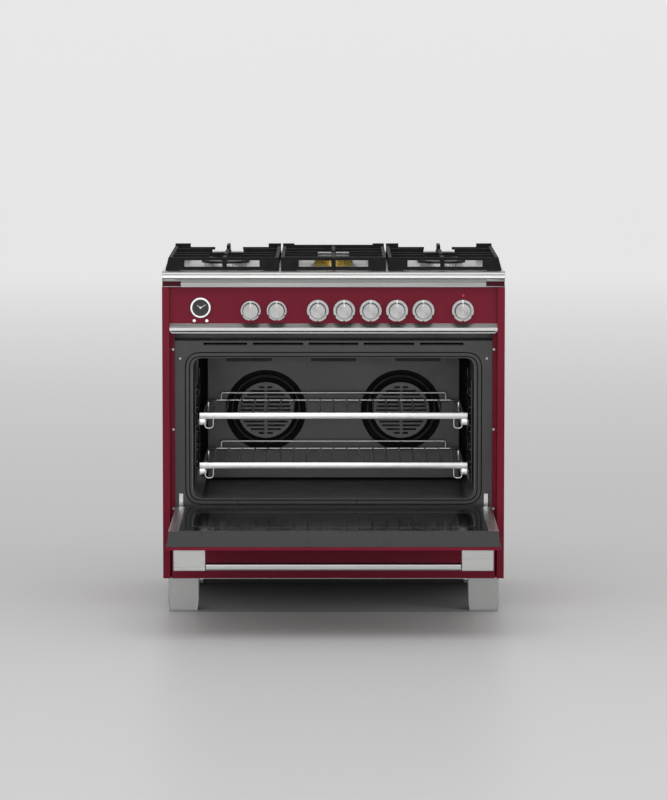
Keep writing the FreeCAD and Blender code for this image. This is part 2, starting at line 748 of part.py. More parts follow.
def hob_top():
    """Pressed worktop with a rolled front edge, hollow below."""
    def tray(inset):
        z0 = hob_height - hob_thickness - (1 if inset else 0)
        z1 = hob_face - inset
        block = box(-half + inset, half - inset, front - 2 + inset, back - inset, z0, z1)
        nose = [e for e in block.Edges if abs(e.BoundBox.ZMin - z1) < 0.01 and e.BoundBox.ZLength < 0.01
                and abs(e.BoundBox.YMax - (front - 2 + inset)) < 0.01]
        return block.makeFillet(13.0 - inset, nose)
    shell = tray(0).cut(tray(sheet))
    holes = [post(x, front + y, hob_face - 5, hob_face + 5, mixing_tube_radius) for x, y in burners()]
    flue = box(-200, 200, back - 60, back - 20, hob_face - 5, hob_face + 5)
    return shell.cut(holes + [flue])


def burners():
    """Burner places: across, and back from the front."""
    side = [(s * burner_offset, y) for s in (-1, 1) for y in (burner_front, burner_rear)]
    return side + [(0, (burner_front + burner_rear) / 2)]


def rear_vent_strip():
    body = box(-half + 19, half - 19, back - 74, back - 4, hob_face, hob_face + 14)
    hollow = box(-half + 21, half - 21, back - 72, back - 6, hob_face - 1, hob_face + 12.5)
    slots = [box(x * 60 - 24, x * 60 + 24, back - 50, back - 44, hob_face + 10, hob_face + 16)
             for x in range(-6, 7)]
    slots += [box(x * 60 - 24, x * 60 + 24, back - 34, back - 28, hob_face + 10, hob_face + 16)
              for x in range(-6, 7)]
    return body.cut([hollow] + slots)


def burner_crown(x, y, radius, teeth):
    z0, z1 = hob_face, hob_face + crown_height
    crown = joined([post(x, y, z0, z0 + 4, radius + 3), post(x, y, z0, z1, radius),
                    post(x, y, z0 - 16, z0 + 1, mixing_tube_radius - 0.5)])
    cuts = [post(x, y, z0 - 17, z0 + 3, mixing_tube_radius - 3)]
    for tooth in range(teeth):
        port = box(x + radius - 5, x + radius + 1, y - port_width / 2, y + port_width / 2, z0 + 6, z1 - 1.5)
        port.rotate(V(x, y, 0), Z_AXIS, 360.0 * tooth / teeth)
        cuts.append(port)
    return crown.cut(cuts)


def burner_cap(x, y, radius):
    z0 = hob_face + crown_height
    cap = post(x, y, z0, z0 + cap_height, radius)
    edges = [e for e in cap.Edges if abs(e.BoundBox.ZMin - (z0 + cap_height)) < 0.01
             and e.BoundBox.ZLength < 0.01]
    return cap.makeFillet(2.5, edges)


def burner_gas_feed():
    """Injector cup under each burner, with the pipe from its valve."""
    pieces = []
    ceiling = hob_face - 16
    for order, (place, (x, y)) in enumerate(zip(gas_knob_places, burners())):
        level = ceiling - cup_depth - 5 - feed_pitch * order
        cup = post(x, front + y, ceiling - cup_depth, ceiling, 24).cut(
            post(x, front + y, ceiling - cup_depth + 4, ceiling + 1, 20))
        start = V(place, front + panel_setback + 30, control_height + 17)
        rise = V(place, start.y, level)
        under = V(x, front + y, level)
        pipe = wire_run([start, rise, under, V(x, front + y, ceiling - cup_depth + 2)], 3.6,
                        elbow=1.15)
        pieces.append(joined([cup, pipe]))
    return pieces


def grate(x0, x1, middle, lean, fingers_at, rear_top, blocks):
    """One cast pan support: its walls with their windows, the rear blocks and the pan fingers.

    The side at x0 stands upright and the side at x1 leans in. The middle is the line of its burners,
    and blocks holds the widths of the two rear corner blocks.
    """
    y0, y1 = front + grate_front, front + grate_front + grate_depth
    z0, z1 = hob_face, grate_top
    outline = [(x0, z0), (x1, z0), (x1 - lean, z1), (x0, z1)]
    corners = [V(x, y0, z) for x, z in outline]
    walls = Part.Face(Part.makePolygon(corners + corners[:1])).extrude(V(0, y1 - y0, 0))
    inner = box(x0 + bar_width, x1 - lean - bar_width, y0 + bar_width, y1 - bar_width, z0 - 1, z1 + 1)
    inset = 0.17 * (x1 - x0)
    end_windows = [box(start, end, y0 - 1, y1 + 1, z0 + 10, z0 + 27)
                   for start, end in ((x0 + inset, middle - mullion / 2), (middle + mullion / 2, x1 - inset))]
    under = box(x0 + 40, x1 - 40, y0 - 1, y1 + 1, z0 - 1, z0 + lift_clearance)
    side_window = box(x0 - 1, x1 + 1, y0 + 60, y1 - 60, z0 - 1, z0 + 12)
    base = z1 - finger_height
    rear_cut = box(x0 - 1, x1 + 1, y1 - bar_width, y1 + 1, base, z1 + 1)
    frame = walls.cut(end_windows + [inner, side_window, under, rear_cut])
    reach = 42.0
    bars = [box(x0, x1 - lean, y1 - bar_width, y1, base, rear_top)]
    for y in fingers_at:
        for start, end in ((x0, middle - reach), (middle + reach, x1 - lean)):
            bars.append(box(start, end, y - bar_width / 2, y + bar_width / 2, base, z1))
    for start, end in ((x0, x0 + blocks[0]), (x1 - lean - blocks[1], x1 - lean)):
        bars.append(box(start, end, y1 - 14, y1, z1 - finger_height, z1 + block_height))
    return frame, bars, base, y0, y1, z1


def spine(middle, start, end, base, top):
    return box(middle - bar_width / 2, middle + bar_width / 2, start, end, base, top)


def side_grate():
    """Right grate, over two burners in line; its rear wall is notched below the spine."""
    x0, x1 = half - 7.3 - side_grate_width, half - 7.3
    front_burner, rear_burner = front + burner_front, front + burner_rear
    frame, bars, base, y0, y1, z1 = grate(x0, x1, burner_offset, grate_lean,
                                          (front_burner, rear_burner), grate_top - rear_wall_drop,
                                          (34.0, 42.0))
    notch = box(burner_offset - 38, burner_offset + 38, y1 - bar_width - 1, y1 + 1,
                z1 - rear_wall_drop - 8, z1 + 1)
    centre = (y0 + y1) / 2
    bars.append(box(x0, x1 - grate_lean, centre - bar_width / 2, centre + bar_width / 2, base, z1 - 3))
    bars.append(spine(burner_offset, y0, front_burner - 32, base, z1))
    bars.append(spine(burner_offset, front_burner + 32, rear_burner - 32, base, z1))
    bars.append(spine(burner_offset, rear_burner + 32, y1, base, z1 + block_height))
    bars[0] = bars[0].cut(notch)
    return joined([frame] + bars)


def centre_grate():
    """Middle grate, over the one large burner."""
    wide = half - 7.3 - side_grate_width - grate_gap
    centre = front + (burner_front + burner_rear) / 2
    frame, bars, base, y0, y1, z1 = grate(-wide, wide, 0.0, 0.0, (centre - 105, centre, centre + 105),
                                          grate_top + 2, (31.0, 31.0))
    for start, end in ((y0, centre - 32), (centre + 32, y1)):
        bars.append(spine(0.0, start, end, base, z1))
    for y in (centre - 150, centre + 150):
        bars.append(box(-wide, wide, y - bar_width / 2, y + bar_width / 2, base, z1 - 3))
    return joined([frame] + bars)


# --- small pieces ---

def frame_screws():
    screws = []
    lug_face = front + edge_return - sheet
    for z in frame_screw_heights:
        screws.append(disc(half - 26.5, lug_face - 1.2, lug_face, z, 3.2))
    screws.append(disc(half - 45, frame_face - 1.2, frame_face, cavity_top - 2, 2.8))
    return [s for screw in screws for s in both_sides(screw)]


def gas_inlet():
    x, z = inlet_place
    elbow = disc(x, back - 52, back - 6, z, 13)
    thread = disc(x, back - 8, back + inlet_reach, z, inlet_thread_radius)
    bore = disc(x, back - 20, back + inlet_reach + 1, z, 7)
    socket = post(x, back - 40, z, z + 30, 9 + 0.1)
    collar = post(x, back - 40, z, z + 22, 13)
    return joined([elbow, thread, collar]).cut([bore, socket])


def terminal_box():
    y1 = back - 2 * sheet
    x, z = -inlet_place[0], terminal_height
    body = box(x - 35, x + 35, y1 - 40, y1, z - 35, z + 35)
    return body.cut(disc(x, y1 - 30, y1 + 1, z, cable_entry_radius - 1))


def build():
    os.makedirs("parts", exist_ok=True)
    right_side = side_panel()
    export("side_panel_right", right_side)
    export("side_panel_left", mirrored(right_side))
    export("back_panel", back_panel())
    export("base_tray", base_tray())
    export("kick_panel", kick_panel())
    export("front_legs", both_sides(front_leg()))
    export("rear_feet", both_sides(rear_foot()))

    export("oven_front_frame", oven_front_frame())
    export("oven_cavity", oven_cavity())
    export("oven_insulation", oven_insulation())
    export("door_seal", door_seal())
    export("fan_baffle", fan_baffle())
    export("heating_elements", [ring_element(fan_offset), ring_element(-fan_offset), grill_element()])
    export("fan_impeller_right", fan_impeller(fan_offset))
    export("fan_impeller_left", fan_impeller(-fan_offset))
    export("fan_motors", both_sides(fan_motor(fan_offset)))
    ladders = both_sides(side_ladder())
    for name in rack_rises:
        ladders += both_sides(slide_fixed(name))
        export(f"{name}_slide_middle", both_sides(slide_middle(name)))
        export(f"{name}_rack", rack(name))
    export("side_ladders", ladders)

    export("door_core", opened(door_core()))
    export("door_side_channels", [opened(s) for s in both_sides(door_channel())])
    export("door_glass_panes", [opened(s) for s in door_glass_panes()])
    export("door_outer_panel", opened(door_outer_panel()))
    export("door_handle", [opened(s) for s in door_handle()])
    export("door_hinge_lugs", [opened(s) for s in both_sides(hinge_lugs())])
    export("hinge_receivers", both_sides(hinge_receiver()))

    export("control_ledge", control_ledge())
    export("control_panel", control_panel())
    export("panel_trim_strip", panel_trim_strip())
    for number, x in enumerate(gas_knob_places, 1):
        export(f"gas_knob_{number}", knob(x, gas_skirt_radius))
    for name, x in zip(("oven_function_knob", "oven_temperature_knob", "grill_knob"), oven_knob_places):
        export(name, knob(x, gas_skirt_radius if x > 0 else oven_skirt_radius))
    export("gas_manifold", gas_manifold())
    export("control_switches", control_switches())
    export("clock_bezel", clock_bezel())
    export("clock_dial", clock_dial())
    hour, minute = clock_hands()
    export("clock_hour_hand", hour)
    export("clock_minute_hand", minute)
    export("clock_button_left", clock_button(-1))
    export("clock_button_right", clock_button(1))
    export("indicator_lamp", indicator_lamp())

    export("hob_top", hob_top())
    export("rear_vent_strip", rear_vent_strip())
    places = [(x, front + y) for x, y in burners()]
    export("burner_crowns", [burner_crown(x, y, side_crown_radius, 36) for x, y in places[:4]])
    export("centre_burner_crown", burner_crown(*places[4], centre_crown_radius, 40))
    export("burner_caps", [burner_cap(x, y, cap_radius) for x, y in places])
    export("burner_gas_feed", burner_gas_feed())
    right_grate = side_grate()
    export("grate_right", right_grate)
    export("grate_left", mirrored(right_grate))
    export("grate_centre", centre_grate())

    export("frame_screws", frame_screws())
    export("gas_inlet", gas_inlet())
    export("terminal_box", terminal_box())
    print("front", front, "back", back, "hinge", hinge_y, hinge_height)


build()
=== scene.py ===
"""The finished look of a freestanding gas range: paint, brushed steel, enamel, cast iron and glass."""
import json
import math

import bpy
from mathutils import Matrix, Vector


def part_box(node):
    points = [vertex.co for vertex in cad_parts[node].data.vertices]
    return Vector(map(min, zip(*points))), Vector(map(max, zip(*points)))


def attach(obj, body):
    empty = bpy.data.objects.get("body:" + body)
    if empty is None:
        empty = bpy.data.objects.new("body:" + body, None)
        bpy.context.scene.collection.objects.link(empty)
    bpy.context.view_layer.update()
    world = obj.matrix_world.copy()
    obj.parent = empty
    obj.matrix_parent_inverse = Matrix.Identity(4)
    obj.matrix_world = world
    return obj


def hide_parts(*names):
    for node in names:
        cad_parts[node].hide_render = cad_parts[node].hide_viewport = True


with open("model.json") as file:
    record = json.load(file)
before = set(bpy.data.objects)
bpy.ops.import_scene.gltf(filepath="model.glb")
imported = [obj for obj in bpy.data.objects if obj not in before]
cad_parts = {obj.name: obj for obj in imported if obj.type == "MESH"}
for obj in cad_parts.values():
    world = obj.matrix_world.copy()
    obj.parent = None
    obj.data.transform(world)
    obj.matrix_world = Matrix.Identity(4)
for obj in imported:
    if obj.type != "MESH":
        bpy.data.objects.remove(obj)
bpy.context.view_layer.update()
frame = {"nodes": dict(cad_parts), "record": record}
nodes = frame["nodes"]
body_of_node = {node: body for body, members in frame["record"]["behaviour"]["bodies"].items()
                for node in members}
slot_of_node = {part["node"]: part["material_slot"] for part in frame["record"]["subparts"]}

front_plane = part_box("side_panel_right")[0].y
cavity_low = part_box("oven_cavity")[0]
baffle_low, baffle_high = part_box("fan_baffle")
panel_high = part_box("control_panel")[1]
hob_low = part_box("hob_top")[0]


# ---------------------------------------------------------------- materials

def surface(name, colour, roughness, metallic=0.0, coat=0.0, coat_roughness=0.1, specular=0.5):
    """A plain shader to build a finish on."""
    material = bpy.data.materials.new(name)
    material.use_nodes = True
    shader = material.node_tree.nodes["Principled BSDF"]
    shader.inputs["Base Color"].default_value = (*colour, 1)
    shader.inputs["Roughness"].default_value = roughness
    shader.inputs["Metallic"].default_value = metallic
    shader.inputs["Coat Weight"].default_value = coat
    shader.inputs["Coat Roughness"].default_value = coat_roughness
    shader.inputs["Specular IOR Level"].default_value = specular
    material.diffuse_color = (*colour, 1)
    return material


def add_node(material, kind, **values):
    node = material.node_tree.nodes.new(kind)
    for key, value in values.items():
        if key in node.inputs:
            node.inputs[key].default_value = value
        else:
            setattr(node, key, value)
    return node


def link(material, out, into):
    material.node_tree.links.new(out, into)


def grain(material, scale, stretch=(1, 1, 1), detail=3.0, centre=(0, 0, 0)):
    """Noise over the piece, in metres, drawn out along the axes with small stretch values."""
    place = add_node(material, "ShaderNodeTexCoord")
    mapping = add_node(material, "ShaderNodeMapping", Scale=stretch, Location=centre)
    noise = add_node(material, "ShaderNodeTexNoise", Scale=scale, Detail=detail, Roughness=0.6)
    link(material, place.outputs["Object"], mapping.inputs["Vector"])
    link(material, mapping.outputs["Vector"], noise.inputs["Vector"])
    return noise.outputs["Fac"]


def spread(material, factor, into, low, high, start=0.3, end=0.7):
    """Feeds a shader input with a number that follows the factor."""
    ranger = add_node(material, "ShaderNodeMapRange")
    for key, value in (("From Min", start), ("From Max", end), ("To Min", low), ("To Max", high)):
        ranger.inputs[key].default_value = value
    link(material, factor, ranger.inputs["Value"])
    link(material, ranger.outputs["Result"], shader_of(material).inputs[into])


def shade(material, factor, dark, light, start=0.3, end=0.7):
    """Colours the surface between two tones as the factor rises."""
    ramp = add_node(material, "ShaderNodeValToRGB")
    ramp.color_ramp.elements[0].position = start
    ramp.color_ramp.elements[0].color = (*dark, 1)
    ramp.color_ramp.elements[1].position = end
    ramp.color_ramp.elements[1].color = (*light, 1)
    link(material, factor, ramp.inputs["Fac"])
    link(material, ramp.outputs["Color"], shader_of(material).inputs["Base Color"])


def relief(material, height, strength, distance):
    bump = add_node(material, "ShaderNodeBump", Strength=strength, Distance=distance)
    link(material, height, bump.inputs["Height"])
    link(material, bump.outputs["Normal"], shader_of(material).inputs["Normal"])


def shader_of(material):
    return material.node_tree.nodes["Principled BSDF"]


def toned(colour, amount):
    return tuple(channel * amount for channel in colour)


def gloss_paint(name, colour):
    """Sprayed and stoved paint with a faint orange peel under its gloss."""
    paint = surface(name, colour, 0.34, coat=0.03, coat_roughness=0.1, specular=0.05)
    shade(paint, grain(paint, 9.0), toned(colour, 0.95), toned(colour, 1.05))
    relief(paint, grain(paint, 420.0, detail=1.0), 0.05, 0.0004)
    return paint


def brushed_steel(name, tone, stretch, roughness=0.3):
    """Steel brushed along the axis whose stretch value is small."""
    colour = (tone, tone, tone * 0.99)
    steel = surface(name, colour, roughness, metallic=1.0)
    lines = grain(steel, 260.0, stretch, detail=4.0)
    shade(steel, lines, toned(colour, 0.94), toned(colour, 1.04))
    spread(steel, lines, "Roughness", roughness - 0.05, roughness + 0.07)
    relief(steel, lines, 0.06, 0.0001)
    return steel


def vitreous_enamel(name, colour, roughness=0.3):
    """Fired enamel: nearly smooth, with fine pale specks and a slow waviness."""
    enamel = surface(name, colour, roughness, specular=0.35)
    shade(enamel, grain(enamel, 900.0, detail=1.0), toned(colour, 0.9), toned(colour, 1.25), 0.45, 0.75)
    relief(enamel, grain(enamel, 60.0, detail=2.0), 0.04, 0.0005)
    spread(enamel, grain(enamel, 14.0), "Roughness", roughness - 0.04, roughness + 0.08)
    return enamel


def rough_casting(name, colour, roughness=0.55, specular=0.25):
    """Matt enamel over sand-cast iron."""
    iron = surface(name, colour, roughness, specular=specular)
    shade(iron, grain(iron, 70.0), toned(colour, 0.8), toned(colour, 1.3))
    relief(iron, grain(iron, 900.0, detail=3.0), 0.25, 0.0005)
    spread(iron, grain(iron, 160.0), "Roughness", roughness - 0.1, roughness + 0.1)
    return iron


def plated(name, tone, roughness):
    colour = tuple(tone) if isinstance(tone, tuple) else (tone, tone, tone)
    plate = surface(name, colour, roughness, metallic=1.0)
    shade(plate, grain(plate, 40.0), toned(colour, 0.93), toned(colour, 1.03))
    spread(plate, grain(plate, 200.0), "Roughness", roughness, roughness + 0.08)
    return plate


def moulded_plastic(name, colour, roughness=0.45):
    plastic = surface(name, colour, roughness, specular=0.3)
    shade(plastic, grain(plastic, 50.0), toned(colour, 0.9), toned(colour, 1.1))
    relief(plastic, grain(plastic, 1500.0, detail=1.0), 0.12, 0.0002)
    return plastic


def zinc_sheet():
    """Galvanised sheet with its crystal spangle."""
    zinc = surface("zinc_sheet", (0.42, 0.43, 0.45), 0.45, metallic=0.9)
    place = add_node(zinc, "ShaderNodeTexCoord")
    cells = add_node(zinc, "ShaderNodeTexVoronoi", Scale=70.0)
    link(zinc, place.outputs["Object"], cells.inputs["Vector"])
    shade(zinc, cells.outputs["Distance"], (0.36, 0.37, 0.39), (0.5, 0.51, 0.53), 0.1, 0.9)
    spread(zinc, cells.outputs["Distance"], "Roughness", 0.38, 0.55)
    return zinc


def tinted_glass(name, colour, roughness=0.09):
    """Dark glass with a faint haze."""
    glass = surface(name, colour, roughness, specular=0.06)
    shade(glass, grain(glass, 3.0), toned(colour, 0.85), toned(colour, 1.15))
    spread(glass, grain(glass, 30.0), "Roughness", roughness, roughness + 0.05)
    return glass


def lathe_steel(name, x, z, tone):
    """Steel turned about a line running back through x and z, with the rings its tool left."""
    steel = surface(name, (tone, tone, tone * 0.99), 0.3, metallic=1.0)
    shader = shader_of(steel)
    shader.inputs["Anisotropic"].default_value = 0.85
    place = add_node(steel, "ShaderNodeTexCoord")
    centred = add_node(steel, "ShaderNodeMapping", Location=(-x, 0, -z))
    around = add_node(steel, "ShaderNodeVectorMath", operation="CROSS_PRODUCT")
    around.inputs[1].default_value = (0, 1, 0)
    unit = add_node(steel, "ShaderNodeVectorMath", operation="NORMALIZE")
    rings = add_node(steel, "ShaderNodeTexWave", Scale=260.0, Distortion=0.6, Detail=1.0,
                     wave_type="RINGS", rings_direction="Y")
    link(steel, place.outputs["Object"], centred.inputs["Vector"])
    link(steel, centred.outputs["Vector"], around.inputs[0])
    link(steel, around.outputs["Vector"], unit.inputs[0])
    link(steel, unit.outputs["Vector"], shader.inputs["Tangent"])
    link(steel, centred.outputs["Vector"], rings.inputs["Vector"])
    spread(steel, rings.outputs["Fac"], "Roughness", 0.26, 0.38, 0.0, 1.0)
    relief(steel, rings.outputs["Fac"], 0.04, 0.0001)
    return steel


RED = (0.170, 0.0100, 0.0255)
ENAMEL = (0.035, 0.035, 0.036)
finishes = {
    "red": gloss_paint("deep_red_paint", RED),
    # A much darker copy of the red for the top of the control panel: painted shade under the hob's overhang.
    "painted_shade_red": gloss_paint("deep_red_paint_painted_shade", toned(RED, 0.3)),
    "stainless": brushed_steel("steel_brushed_across", 0.36, (0.03, 1, 1)),
    "enamel": vitreous_enamel("grey_enamel", ENAMEL),
    "cavity_enamel": vitreous_enamel("oven_enamel", (0.07, 0.07, 0.071), 0.33),
    "black_enamel": rough_casting("black_enamel", (0.004, 0.004, 0.004), 0.6, 0.1),
    "cast_iron": rough_casting("cast_iron", (0.0105, 0.0105, 0.011), 0.55, 0.08),
    "cap_enamel": rough_casting("cap_enamel", (0.008, 0.008, 0.008), 0.35),
    "chrome": plated("chrome", 0.44, 0.12),
    "rack_wire": plated("bright_wire", 0.6, 0.28),
    "brass": plated("brass", (0.75, 0.55, 0.14), 0.3),
    "aluminium": plated("cast_aluminium", 0.85, 0.4),
    "glass": tinted_glass("oven_door_glass", (0.006, 0.006, 0.0065)),
    "glass_print": moulded_plastic("glass_print", (0.05, 0.05, 0.052), 0.3),
    "galvanised": zinc_sheet(),
    "seal": rough_casting("woven_seal", (0.006, 0.006, 0.006), 0.7, 0.15),
    # Mineral wool darkened nearly to black so the vent slots in front of it read dark: painted shade in the
    # slots.
    "wool": rough_casting("mineral_wool_with_painted_shade", (0.05, 0.047, 0.04), 0.9, 0.1),
    "black_plastic": moulded_plastic("black_plastic", (0.02, 0.02, 0.021)),
    "dial": moulded_plastic("clock_dial_black", (0.012, 0.012, 0.013), 0.3),
    "red_lens": moulded_plastic("red_lens", (0.42, 0.004, 0.025), 0.2),
    "knob_steel": plated("knob_skirt_steel", 0.32, 0.34),
    "element": rough_casting("element_sheath", (0.03, 0.029, 0.028), 0.6),
    "upright_steel": brushed_steel("steel_brushed_upright", 0.31, (1, 1, 0.03), 0.42),
    "deep_steel": brushed_steel("steel_brushed_deep", 0.6, (1, 0.03, 1)),
    "guard_steel": plated("fan_guard_steel", 0.075, 0.4),
    # A much lighter copy of the brushed steel for the hob's top: painted light falling from above.
    "painted_light_top_steel": brushed_steel("steel_brushed_painted_top_light", 0.85, (0.03, 1, 1)),
    "nose_steel": brushed_steel("steel_brushed_nose", 0.44, (0.03, 1, 1)),
    "strip_steel": brushed_steel("steel_brushed_strip", 0.18, (0.03, 1, 1)),
    "white_ink": moulded_plastic("white_ink", (0.85, 0.85, 0.83), 0.4),
    "grey_ink": moulded_plastic("grey_ink", (0.16, 0.16, 0.16), 0.4),
}

for node_name, node in nodes.items():
    node.data.materials.clear()
    node.data.materials.append(finishes[slot_of_node[node_name]])


# ---------------------------------------------------------------- making pieces

def clear_selection():
    if bpy.context.object and bpy.context.object.mode != "OBJECT":
        bpy.ops.object.mode_set(mode="OBJECT")
    bpy.ops.object.select_all(action="DESELECT")


def make_active(piece):
    clear_selection()
    piece.select_set(True)
    bpy.context.view_layer.objects.active = piece


def apply_modifiers(piece):
    make_active(piece)
    for modifier in list(piece.modifiers):
        bpy.ops.object.modifier_apply(modifier=modifier.name)


def finish_piece(piece, body, slot, finish=None, stands_for=()):
    """Gives a piece its finish and its body."""
    piece.data.materials.clear()
    piece.data.materials.append(finishes[finish or slot])
    if stands_for:
        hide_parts(*stands_for)
    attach(piece, body)
    return piece


def smooth(piece, angle=35):
    make_active(piece)
    bpy.ops.object.shade_smooth_by_angle(angle=math.radians(angle))


def softened(node_name, edge, finish=None, segments=2, angle=40, merge=True):
    """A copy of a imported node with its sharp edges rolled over, and its flat faces made whole if merge."""
    source = nodes[node_name]
    piece = bpy.data.objects.new(node_name + "_finished", source.data.copy())
    bpy.context.scene.collection.objects.link(piece)
    make_active(piece)
    bpy.ops.object.mode_set(mode="EDIT")
    bpy.ops.mesh.select_all(action="SELECT")
    bpy.ops.mesh.remove_doubles(threshold=0.00002)
    if merge:
        bpy.ops.mesh.dissolve_limited(angle_limit=math.radians(1.0))
    bpy.ops.object.mode_set(mode="OBJECT")
    if edge:
        bevel = piece.modifiers.new("edge", "BEVEL")
        bevel.width = edge
        bevel.segments = segments
        bevel.limit_method = "ANGLE"
        bevel.angle_limit = math.radians(angle)
        bevel.use_clamp_overlap = True
    smooth(piece, 60 if edge else 35)
    level = piece.modifiers.new("level_faces", "WEIGHTED_NORMAL")
    level.weight = 100
    level.keep_sharp = True
    apply_modifiers(piece)
    return finish_piece(piece, body_of_node[node_name], slot_of_node[node_name], finish, (node_name,))


def block(name, low, high, edge=0.001, segments=2):
    """A block between two corners with bevelled edges."""
    low, high = Vector(low), Vector(high)
    clear_selection()
    bpy.ops.mesh.primitive_cube_add(size=1, location=(low + high) / 2)
    piece = bpy.context.object
    piece.name = name
    piece.scale = high - low
    bpy.ops.object.transform_apply(location=True, rotation=True, scale=True)
    bpy.ops.object.mode_set(mode="EDIT")
    bpy.ops.mesh.select_all(action="SELECT")
    bpy.ops.mesh.bevel(offset=edge, segments=segments, affect="EDGES")
    bpy.ops.object.mode_set(mode="OBJECT")
    smooth(piece)
    return piece


def turned(name, profile, centre, axis, steps=64):
    """A piece built ring by ring along an axis: profile holds (radius, distance along the axis)."""
    axis, centre = Vector(axis), Vector(centre)
    radius, height = profile[0]
    clear_selection()
    bpy.ops.mesh.primitive_circle_add(vertices=steps, radius=radius, fill_type="NGON",
                                      location=centre + axis * height,
                                      rotation=axis.to_track_quat("Z", "Y").to_euler())
    piece = bpy.context.object
    piece.name = name
    bpy.ops.object.transform_apply(location=True, rotation=True, scale=True)
    bpy.ops.object.mode_set(mode="EDIT")
    bpy.ops.mesh.select_all(action="SELECT")
    for wider, further in profile[1:]:
        bpy.ops.mesh.extrude_region_move(TRANSFORM_OT_translate={"value": axis * (further - height)})
        grow = wider / radius
        bpy.ops.transform.resize(value=(grow, grow, grow), center_override=centre + axis * further)
        radius, height = wider, further
    bpy.ops.mesh.select_all(action="SELECT")
    bpy.ops.mesh.normals_make_consistent(inside=False)
    bpy.ops.object.mode_set(mode="OBJECT")
    smooth(piece)
    return piece


def rounded_route(points, bend, steps=5, closed=False):
    """The points with each corner turned into a short arc."""
    route = []
    count = len(points)
    for index, point in enumerate(points):
        if not closed and index in (0, count - 1):
            route.append(point)
            continue
        before, after = points[index - 1], points[(index + 1) % count]
        reach = min(bend, (before - point).length * 0.45, (after - point).length * 0.45)
        start = point + (before - point).normalized() * reach
        end = point + (after - point).normalized() * reach
        for step in range(steps + 1):
            t = step / steps
            route.append(start * (1 - t) ** 2 + point * 2 * t * (1 - t) + end * t ** 2)
    return route


def wire(name, points, radius, bend=0.01, closed=False, sides=2):
    """Round wire along points, as a mesh with closed ends."""
    route = rounded_route([Vector(p) for p in points], bend, closed=closed)
    curve = bpy.data.curves.new(name, "CURVE")
    curve.dimensions = "3D"
    curve.bevel_depth = radius
    curve.bevel_resolution = sides
    curve.use_fill_caps = not closed
    spline = curve.splines.new("POLY")
    spline.points.add(len(route) - 1)
    for place, point in zip(spline.points, route):
        place.co = (*point, 1)
    spline.use_cyclic_u = closed
    piece = bpy.data.objects.new(name, curve)
    bpy.context.scene.collection.objects.link(piece)
    make_active(piece)
    bpy.ops.object.convert(target="MESH")
    piece = bpy.context.object
    bpy.ops.object.shade_smooth()
    return piece


def joined(name, pieces):
    clear_selection()
    for piece in pieces:
        piece.select_set(True)
    bpy.context.view_layer.objects.active = pieces[0]
    bpy.ops.object.join()
    piece = bpy.context.object
    piece.name = name
    return piece


def refinish(piece, finish, chosen):
    """Gives another finish to the faces that chosen picks by their middle and normal."""
    piece.data.materials.append(finishes[finish])
    slot = len(piece.data.materials) - 1
    for face in piece.data.polygons:
        if chosen(face.center, face.normal):
            face.material_index = slot
    return piece


def rectangle_route(low, high, y, inset):
    """The corners of an upright rectangle that many metres inside another."""
    return [(low.x + inset, y, low.z + inset), (high.x - inset, y, low.z + inset),
            (high.x - inset, y, high.z - inset), (low.x + inset, y, high.z - inset)]


# ---------------------------------------------------------------- setting

def distance_back(material, near, far):
    """A factor that rises from nought to one between two distances behind the middle."""
    place = add_node(material, "ShaderNodeTexCoord")
    parts = add_node(material, "ShaderNodeSeparateXYZ")
    ranger = add_node(material, "ShaderNodeMapRange")
    ranger.inputs["From Min"].default_value = near
    ranger.inputs["From Max"].default_value = far
    link(material, place.outputs["Object"], parts.inputs["Vector"])
    link(material, parts.outputs["Y"], ranger.inputs["Value"])
    return ranger.outputs["Result"]


